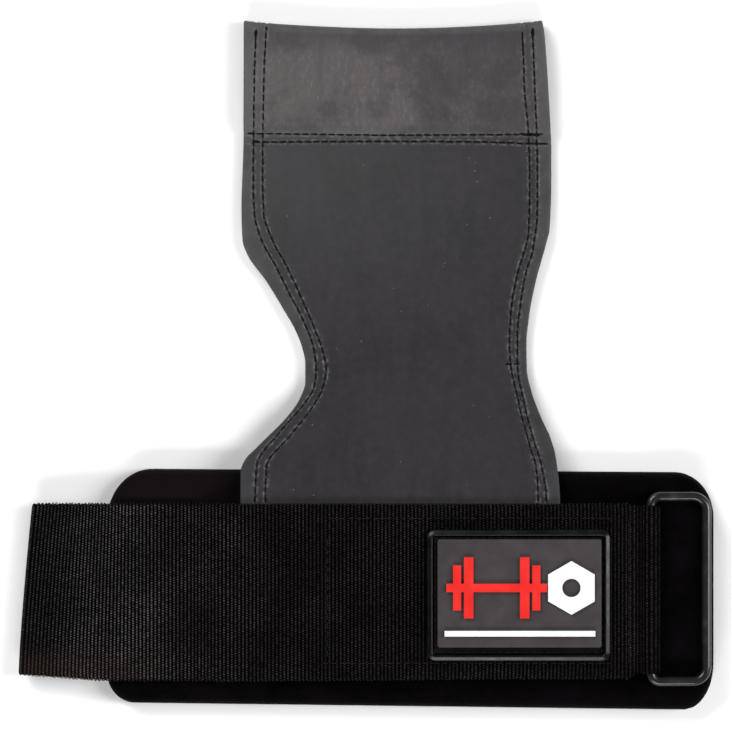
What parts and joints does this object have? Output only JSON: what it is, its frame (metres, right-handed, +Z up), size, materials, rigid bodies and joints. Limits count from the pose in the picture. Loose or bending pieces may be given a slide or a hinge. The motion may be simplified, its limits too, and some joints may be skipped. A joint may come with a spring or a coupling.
{
  "type": "lifting hand grip",
  "caption": "Lifting hand grip: padded wrist band with a webbing strap and wire ring, and a curling rubber palm flap that wraps a bar.",
  "frame": {"origin": "below the centre of the whole grip, on the surface it lies on", "axes": "+X along the wrist band from the strap's free end to the ring, +Y from the wrist band to the tip of the palm flap, +Z up, away from the wearer's wrist"},
  "size_m": [0.1991, 0.1976, 0.0141],
  "materials": {
    "velour": "deep black short-pile velour, matt",
    "foam": "closed-cell neoprene foam",
    "lining": "smooth knitted lining",
    "webbing": "ribbed woven nylon webbing",
    "hook_tape": "moulded nylon hooks on a woven tape",
    "black_metal": "glossy black coating",
    "rubber_front": "semi-matt charcoal rubber, lightly scuffed",
    "rubber_back": "matt charcoal rubber",
    "badge_black": "satin moulded soft rubber",
    "badge_grey": "satin moulded soft rubber",
    "badge_red": "satin moulded soft rubber",
    "badge_white": "satin moulded soft rubber"
  },
  "bodies": {
    "wrist_band": {"band_face_centre": "velour", "band_foam_centre": "foam", "band_lining_centre": "lining", "flap_root_front": "rubber_front", "flap_root_back": "rubber_back", "strap_centre": "webbing", "strap_return_end": "webbing", "badge_base": "badge_black", "badge_panel": "badge_grey", "badge_barbell": "badge_red", "badge_hexagon": "badge_white", "badge_stripe": "badge_white"},
    "left_end": {"band_face_left": "velour", "band_foam_left": "foam", "band_lining_left": "lining", "strap_left_strip": "webbing"},
    "free_strap": {"strap_free_end": "webbing"},
    "turned_tail": {"strap_tail": "webbing", "hook_tape": "hook_tape"},
    "right_end": {"band_face_right": "velour", "band_foam_right": "foam", "band_lining_right": "lining", "strap_ring_loop": "webbing"},
    "ring": {"wire_ring": "black_metal"},
    "flap_lower": {"flap_lower_front": "rubber_front", "flap_lower_back": "rubber_back"},
    "flap_middle": {"flap_middle_front": "rubber_front", "flap_middle_back": "rubber_back"},
    "flap_tip": {"flap_tip_cover": "rubber_front", "flap_tip_filler": "foam"}
  },
  "joints": [
    {"name": "left_wrap", "type": "hinge", "parent": "wrist_band", "child": "left_end", "pos_m": [-0.0389, -0.0637, 0], "axis": [0, -1, 0], "range_deg": [0, 95]},
    {"name": "right_wrap", "type": "hinge", "parent": "wrist_band", "child": "right_end", "pos_m": [0.0713, -0.0645, 0], "axis": [0, 1, 0], "range_deg": [0, 95]},
    {"name": "strap_lift", "type": "hinge", "parent": "left_end", "child": "free_strap", "pos_m": [-0.0465, -0.0662, 0.00783], "axis": [0, 1, 0], "range_deg": [0, 150]},
    {"name": "tail_unfold", "type": "hinge", "parent": "free_strap", "child": "turned_tail", "pos_m": [-0.0995, -0.089, 0.00406], "axis": [0.0797, 0.9968, 0], "range_deg": [0, 175]},
    {"name": "ring_swing", "type": "hinge", "parent": "right_end", "child": "ring", "pos_m": [0.0813, -0.0644, 0.0085], "axis": [0, -1, 0], "range_deg": [0, 150]},
    {"name": "flap_root_fold", "type": "hinge", "parent": "wrist_band", "child": "flap_lower", "pos_m": [0.0097, -0.0399, 0.0087], "axis": [1, 0, 0], "range_deg": [0, 90]},
    {"name": "flap_waist_fold", "type": "hinge", "parent": "flap_lower", "child": "flap_middle", "pos_m": [0.0143, -0.002, 0.0029], "axis": [1, 0, 0], "range_deg": [0, 90]},
    {"name": "flap_tip_fold", "type": "hinge", "parent": "flap_middle", "child": "flap_tip", "pos_m": [0.009, 0.0646, 0.0029], "axis": [1, 0, 0], "range_deg": [0, 90]}
  ]
}
